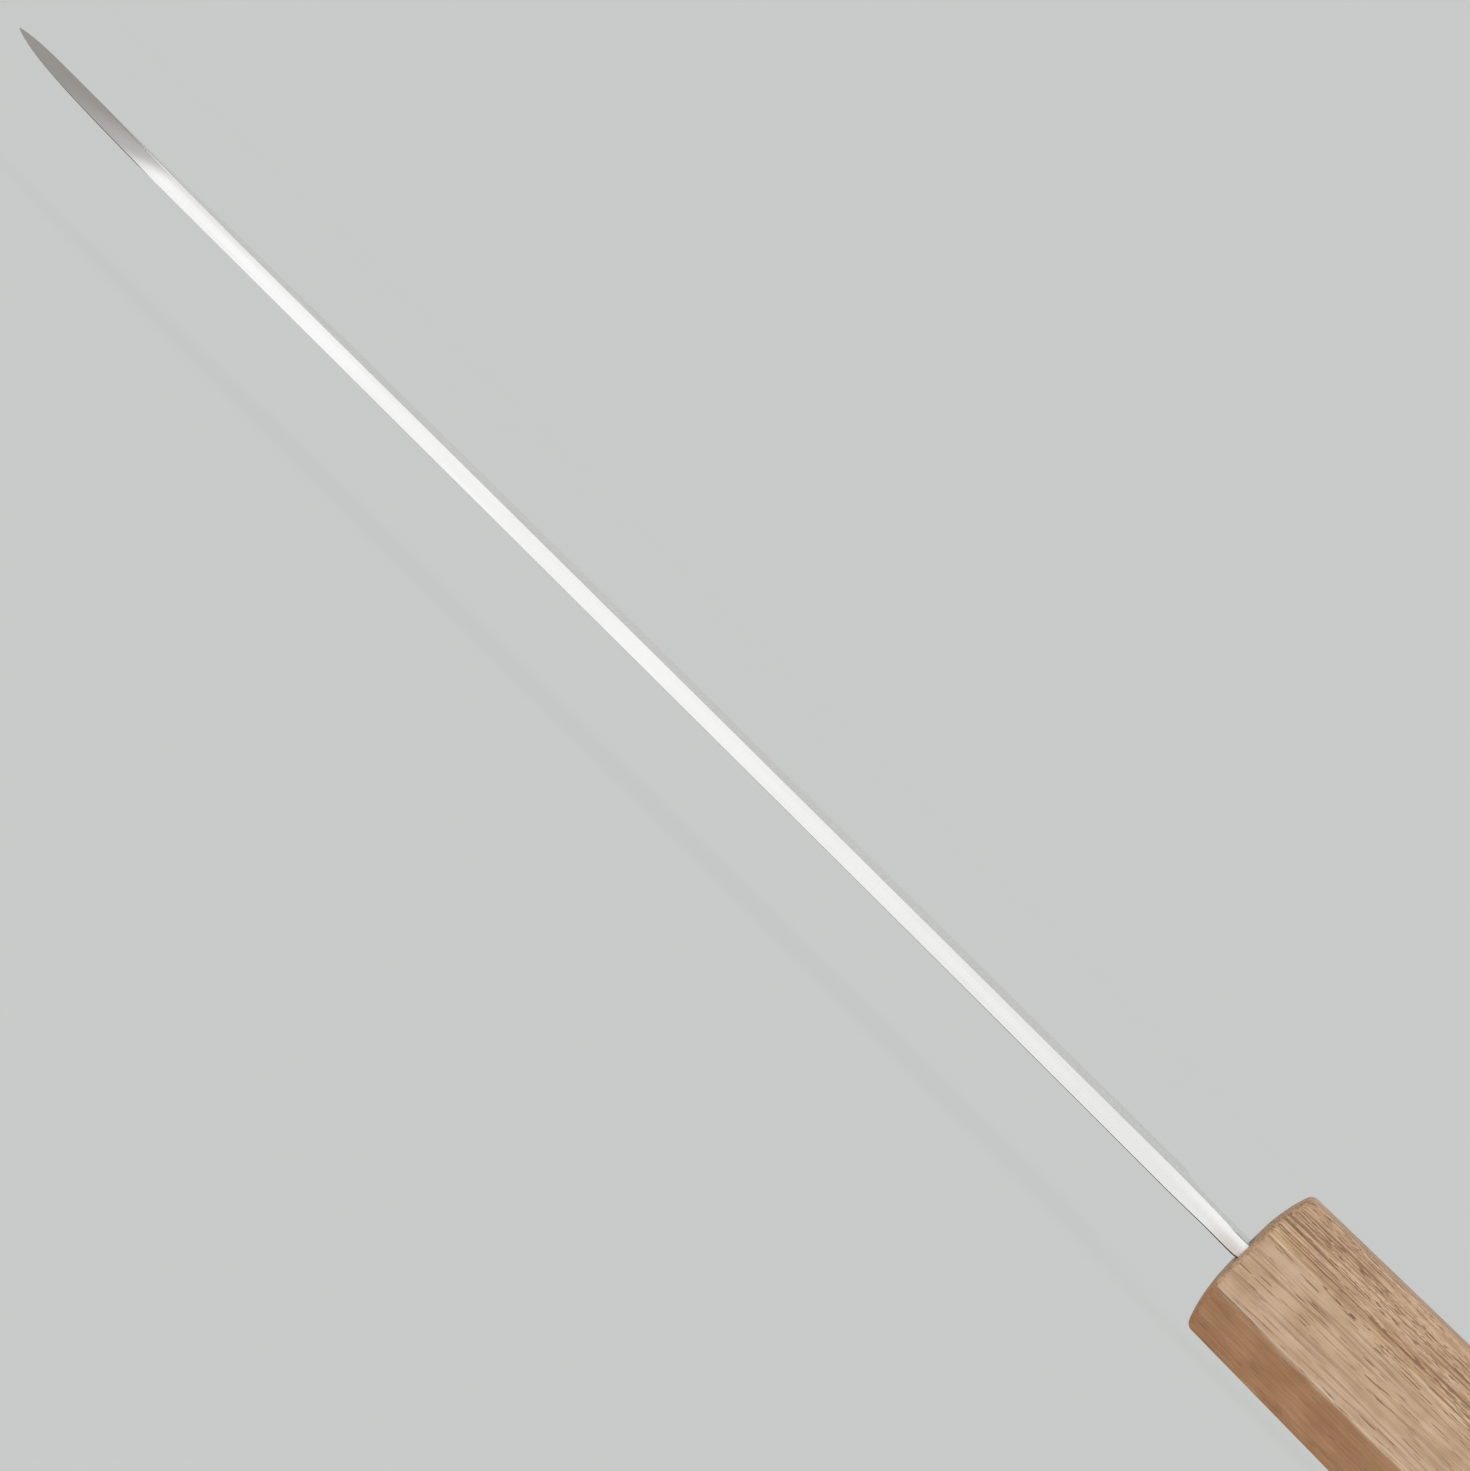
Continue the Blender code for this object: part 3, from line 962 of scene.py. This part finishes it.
# %% [markdown]
# ## Steel
# The cladding is ground with belts across the blade, from spine to edge, and then polished to a satin. The
# lines are hundredths of a millimetre wide, so mostly the eye sees them as a soft gloss, and the spine is
# polished finer than the faces. The core is finer and a little brighter. Beside the handle, light and shade
# are painted into the steel's colour: a warm painted reflection of the wood on its left, a painted highlight
# along the spine's right edge, painted shade in the corner on its right, and painted shade on the faces.
# Each painted mark has a tint, and a start and a full place both along the blade and across it. Brushed
# metal could be made with an anisotropic shader alone, but lines in the roughness and the relief also show
# up close.

# %% Steel finishes
face_slant = (0.3, 0.6)
spine_lines = 0.25
steel_cloud_size = 0.03
line_shade = 0.9
line_share = 0.5
cloud_shade = 0.93
cloud_share = 0.3
line_gloss = 0.04
cloud_gloss = (-0.02, 0.03)
steel_relief = (0.05, 0.00001)
# Painted light beside the handle: a warm painted reflection of the wood on the spine's left, a painted
# highlight on its right edge, and painted shade in the right corner and on the faces.
painted_wood_reflection = ((0.84, 0.79, 0.74), (0.0065, 0.0016), (0.0008, -0.0008))
# painted highlight along the spine's right edge near the handle
painted_neck_highlight = ((1.135, 1.135, 1.135), (0.022, 0.0), (-0.0003, 0.0007))
# painted shade in the corner between the neck and the handle
painted_corner_shade = ((0.52, 0.48, 0.46), (0.0042, 0.0018), (0.00085, 0.00095))
mark_depth = (0.00045, 0.00025)
# painted shade on the blade's faces towards the handle
painted_face_shade_tint = (0.89, 0.905, 0.905)
painted_face_shade_reach = (0.036, 0.014)


def neck_painted_light(tree, tone, face):
    """The steel beside the handle, with painted light: a reflection of the wood, a highlight, and shade."""
    along, up, across = apart(here(tree))
    on_top = between(up, corner.y - mark_depth[0], corner.y - mark_depth[1])
    # painted reflection, painted highlight and painted shade on the spine next to the handle
    for tint, reach, side in (painted_wood_reflection, painted_neck_highlight, painted_corner_shade):
        near = between(along, corner.x + reach[0], corner.x + reach[1])
        beside = between(across, corner.z + side[0], corner.z + side[1])
        tone = mixed(times(near, on_top, beside), tone, tint, "MULTIPLY")
    # painted shade on the faces beside the handle
    near = between(along, corner.x + painted_face_shade_reach[0], corner.x + painted_face_shade_reach[1])
    return mixed(times(near, face), tone, painted_face_shade_tint, "MULTIPLY")


def steel_finish(name, colour, roughness, line_size, seed):
    """Satin steel with fine lines and a little cloudiness."""
    made, tree, shader = new_finish(name)
    fine = lines(tree, line_size, softness=0.25, seed=seed, waver=0.0002)
    coarse = lines(tree, tuple(4 * s for s in line_size), detail=1.0, softness=0.3, seed=seed + 7)
    cloud = clouds(tree, steel_cloud_size, seed)
    facing = apart(put(tree, "ShaderNodeNewGeometry").outputs["Normal"])[2]
    face = between(sums("ABSOLUTE", facing), *face_slant)
    on_face = scaled(face, spine_lines, 1.0)
    fine = sums("MULTIPLY_ADD", less(fine, 0.5), on_face, 0.5)
    coarse = times(coarse, on_face)
    tone = mixed(scaled(fine, 0.0, line_share), colour, tuple(c * line_shade for c in colour))
    tone = mixed(scaled(cloud, 0.0, cloud_share), tone, tuple(c * cloud_shade for c in colour))
    rough = plus(scaled(fine, -line_gloss, line_gloss), scaled(cloud, *cloud_gloss))
    finish = {
        # the painted light beside the handle goes into the base colour
        "Base Color": neck_painted_light(tree, tone, face),
        "Metallic": 1.0,
        "Roughness": plus(rough, roughness),
        "Normal": bump(coarse, *steel_relief, bump(fine, *steel_relief)),
    }
    fill(tree, shader, finish)
    return made


cladding_finish = steel_finish("cladding_satin", (0.60, 0.60, 0.60), 0.20, (0.00022, 0.02, 0.02), 3.0)
core_finish = steel_finish("core_satin", (0.61, 0.61, 0.61), 0.18, (0.00016, 0.02, 0.02), 11.0)
blade_core.data.materials.append(core_finish)
blade_cladding_right.data.materials.append(cladding_finish)
blade_cladding_left.data.materials.append(cladding_finish)

# %% [markdown]
# ## Wood
# The handle is an oiled fine hardwood with open pores. Its tone comes in layers: broad streaks of growth,
# fine fibres, and short dark dashes where pores are cut open lengthwise. On the side that faces down, the
# wood is plainer, and redder and darker: partly the wood's own tone and partly painted shade. On the other
# side the pores are shorter and closer, and an olive streak runs along the ridge, strongest near the front.
# All of it is drawn out along the handle in three dimensions, so the end shows cut grain and the facets
# agree where they meet. The two upper ridges carry a painted highlight, a paler line where light catches
# them. Values named share say how strongly a layer shows, and pairs of them say it for the rest of the wood
# and for the place that the layer belongs to.

# %% Wood's colours and places
wood_light = (0.75, 0.56, 0.40)
wood_dark = (0.62, 0.435, 0.305)
# partly the wood's own red and partly painted shade on the down-facing side
wood_red_and_shade = (0.622, 0.325, 0.169)
wood_olive = (0.62, 0.43, 0.19)
wood_pore = (0.22, 0.12, 0.065)
# painted highlight along the upper ridges
wood_ridge_highlight = (0.84, 0.66, 0.50)
growth_tint = (0.80, 0.73, 0.66)
end_tint = (1.0, 0.95, 0.87)
left_ridge = handle_sizes["Front Bevel"] - handle_sizes["Front Width"] / 2
right_ridge = -left_ridge
ridge_spread = (handle_sizes["Rear Width"] / 2 - handle_sizes["Rear Bevel"] - right_ridge) / handle_length
ridge_waver = 0.0005
ridge_waver_size = 0.009
left_blur = 0.0003
right_blur = 0.0002
olive_place = (0.0055, 0.0009)
olive_length = 0.009
pale_front_length = 0.008
growth_line_place = (0.0107, 0.0003)
end_slant = (0.1, 0.7)
ridge_core = (0.8, 1.0)
grain_tilt = (0.0, math.radians(-0.8), 0.0)

# %% Wood's strengths
# strength of the red and painted shade on the down-facing side
left_red_and_shade_share = 0.88
right_red_share = 0.06
olive_share = (0.2, 0.9)
streak_share = (0.45, 0.7)
pale_front_share = 0.6
patch_size = 0.0045
patch_share = 0.75
left_pore_share = 0.7
fibre_share = 0.6
# strength of the painted highlight along the upper ridges
ridge_highlight_share = 0.3
hair_share = (0.35, 0.75)
dark_share = (0.0, 0.3)
pore_share = (0.25, 0.95)
wood_roughness = (0.48, 0.60)
pore_roughness = 0.2
pore_relief = (0.5, 0.00010)
fibre_relief = (0.25, 0.00004)


# %% Wood's tones
def grain(tree, size, **inputs):
    """Lines along the grain, which is tilted a little against the handle."""
    return lines(tree, size, tilt=grain_tilt, **inputs)


def bell(value, place):
    """A soft line: 1 at a middle and next to nothing beyond a width to either side."""
    middle, width = place
    away = sums("DIVIDE", less(value, middle), width)
    return sums("POWER", math.e, times(away, away, -1.0))


def wood_sides(tree, along, beside):
    """Masks of the wood left and right of the two upper ridges, which waver a little."""
    back = times(less(along, corner.x), ridge_spread)
    bend = scaled(clouds(tree, ridge_waver_size, 23.0), -ridge_waver, ridge_waver)
    left = plus(less(beside, back), bend)
    right = plus(plus(beside, back), bend)
    left_side = between(left, left_ridge + left_blur, left_ridge - left_blur)
    right_side = between(right, right_ridge - right_blur, right_ridge + right_blur)
    return left_side, right_side


def wood_base(tree, along, beside, left_side, right_side):
    """The broad tones: light and dark growth, redder and darker plain wood on one side (partly painted
    shade), an olive streak in front.
    """
    broad = grain(tree, (0.09, 0.005, 0.0034), softness=0.22, seed=2.0, waver=0.002)
    streak = grain(tree, (0.018, 0.0011, 0.0009), seed=5.0, waver=0.001)
    tone = mixed(broad, wood_light, wood_dark)
    # partly painted shade: the down-facing side is made redder and darker
    tone = mixed(times(left_side, left_red_and_shade_share), tone, wood_red_and_shade)
    tone = mixed(times(right_side, right_red_share), tone, wood_red_and_shade)
    near_front = scaled(between(along, corner.x - olive_length, corner.x), *olive_share)
    tone = mixed(times(bell(beside, olive_place), near_front), tone, wood_olive)
    streak = times(streak, scaled(right_side, *streak_share))
    tone = mixed(streak, tone, growth_tint, "MULTIPLY")
    paler = between(along, corner.x - pale_front_length, corner.x)
    tone = mixed(times(paler, right_side, pale_front_share), tone, wood_light)
    patch = times(clouds(tree, patch_size, 4.0), patch_share)
    return mixed(patch, tone, growth_tint, "MULTIPLY")


# %% Wood finish
def wood_finish():
    """Oiled wood with fibres, pores in bands and finer dark lines, darker end grain, and a painted highlight
    on the upper ridges.
    """
    made, tree, shader = new_finish("oiled_wood")
    along, _, across = apart(here(tree))
    beside = less(across, corner.z - blade_off_centre)
    left_side, right_side = wood_sides(tree, along, beside)
    plain = scaled(left_side, 1.0, left_pore_share)
    tone = wood_base(tree, along, beside, left_side, right_side)

    fibre = grain(tree, (0.008, 0.00034, 0.00034), softness=0.25, seed=8.0)
    tone = mixed(times(fibre, fibre_share), tone, growth_tint, "MULTIPLY")
    facing = apart(put(tree, "ShaderNodeNewGeometry").outputs["Normal"])[0]
    end = between(sums("ABSOLUTE", facing), *end_slant)
    # Painted highlight: the two upper ridges are made paler, and the ends and the sides beyond them are left
    # out.
    ridge = put(tree, "ShaderNodeAttribute", attribute_name="ridge").outputs["Fac"]
    covered = sums("MAXIMUM", end, sums("MAXIMUM", left_side, right_side))
    ridge = times(between(ridge, *ridge_core), scaled(covered, ridge_highlight_share, 0.0))
    tone = mixed(ridge, tone, wood_ridge_highlight)

    hair = grain(tree, (0.030, 0.0003, 0.0003), detail=1.0, softness=0.03, middle=0.60, seed=11.0)
    hair = times(hair, plain, scaled(right_side, *hair_share))
    tone = mixed(hair, tone, wood_pore)
    dark = grain(tree, (0.02, 0.0004, 0.0004), detail=1.0, softness=0.02, middle=0.60, seed=19.0)
    dark = sums("MAXIMUM", dark, bell(beside, growth_line_place))
    tone = mixed(times(dark, scaled(right_side, *dark_share)), tone, wood_pore)

    pore = grain(tree, (0.0055, 0.00021, 0.00021), softness=0.02, middle=0.62, seed=13.0)
    band_here = grain(tree, (0.05, 0.0012, 0.0010), detail=1.0, softness=0.12, seed=17.0)
    short = grain(tree, (0.0018, 0.00022, 0.00022), softness=0.03, middle=0.57, seed=29.0)
    pore = sums("MAXIMUM", pore, times(short, right_side))
    pore = times(pore, plain, scaled(band_here, *pore_share))
    tone = mixed(pore, tone, wood_pore)

    finish = {
        "Base Color": mixed(end, tone, end_tint, "MULTIPLY"),
        "Roughness": plus(scaled(fibre, *wood_roughness), times(pore, pore_roughness)),
        "Specular IOR Level": 0.35,
        "Normal": bump(fibre, *fibre_relief, bump(times(pore, -1.0), *pore_relief)),
    }
    fill(tree, shader, finish)
    return made


handle_wood = grow("handle_wood", handle_recipe(), handle_sizes, wood_finish())
handle_wood.data.shade_smooth()
handle_wood.data.set_sharp_from_angle(angle=math.radians(40))
flattened = handle_wood.modifiers.new("flat facets stay flat", "WEIGHTED_NORMAL")
flattened.keep_sharp = True
handle_wood = settle("handle_wood", handle_wood)
print("handle_wood", len(handle_wood.data.polygons), "faces")

# %% [markdown]
# ## Seal and resin
# The slot in the handle's front end is closed with a brown wax, nearly flush with the wood. Behind it, resin
# holds the tang. The wax is shaped here as a small pad that is lowest between the steel and the wood. The
# resin is out of sight, so the CAD part stays and gets a finish.

# %% Wax seal
wax_overlap = 0.00003
wax_sag = 0.00006
wax_forward = 0.00025
wax_corner = 0.00004
corner_steps = 6
across_steps = 8
wax_cloud_size = 0.002
wax_shade = 0.7
wax_relief = (0.3, 0.00003)
speck_size = 0.0004
speck_gloss = 0.08
seal_low, seal_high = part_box("neck_seal")


def rounded(low_y, high_y, half_z):
    """A closed outline with rounded corners."""
    points = []
    top = high_y - wax_corner
    foot = low_y + wax_corner
    side = half_z - wax_corner
    corners = ((top, side, 0.0), (top, -side, -0.5), (foot, -side, -1.0), (foot, side, -1.5))
    for middle_y, middle_z, start in corners:
        for i in range(corner_steps + 1):
            turn = math.pi * (start - 0.5 * i / corner_steps + 0.5)
            points.append((middle_y + wax_corner * math.sin(turn), middle_z + wax_corner * math.cos(turn)))
    return points


def seal_pad():
    """The wax round the neck: a closed ring whose front sags between the steel and the wood."""
    back = seal_low.x - corner.x
    front = seal_high.x - corner.x + wax_forward
    inner = rounded(wax_overlap - neck_depth, -wax_overlap, neck_thickness / 2 - wax_overlap)
    reach = glue_wall + wax_overlap
    outer = rounded(-neck_depth - reach, reach, neck_thickness / 2 + reach)
    rings = [[(back, y, z) for y, z in inner]]
    for i in range(across_steps + 1):
        part = i / across_steps
        x = front - wax_sag * math.sin(math.pi * part)
        points = [(a[0] + (b[0] - a[0]) * part, a[1] + (b[1] - a[1]) * part) for a, b in zip(inner, outer)]
        rings.append([(x, y, z) for y, z in points])
    rings.append([(back, y, z) for y, z in outer])
    return piece("neck_wax", skin(rings, closed=True)[0], 40)


def filling_finish(name, colour, roughness, seed):
    """Wax or resin: even, with soft clouds and a slightly uneven surface."""
    made, tree, shader = new_finish(name)
    speck = clouds(tree, speck_size, seed + 3)
    dark = tuple(c * wax_shade for c in colour)
    finish = {
        "Base Color": mixed(clouds(tree, wax_cloud_size, seed), colour, dark),
        "Roughness": scaled(speck, roughness - speck_gloss, roughness + speck_gloss),
        "Normal": bump(speck, *wax_relief),
    }
    fill(tree, shader, finish)
    return made


neck_wax = seal_pad()
neck_wax.data.materials.append(filling_finish("seal_wax", (0.36, 0.235, 0.145), 0.5, 21.0))
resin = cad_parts["tang_resin"]
resin.data.materials.clear()
resin.data.materials.append(filling_finish("tang_resin", (0.10, 0.075, 0.05), 0.4, 31.0))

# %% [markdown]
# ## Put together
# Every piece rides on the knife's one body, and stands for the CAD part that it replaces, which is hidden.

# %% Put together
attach(blade_core, "root")
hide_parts("core_steel")

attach(blade_cladding_right, "root")
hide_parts("cladding_right")

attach(blade_cladding_left, "root")
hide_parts("cladding_left")

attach(handle_wood, "root")
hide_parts("handle")

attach(neck_wax, "root")
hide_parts("neck_seal")
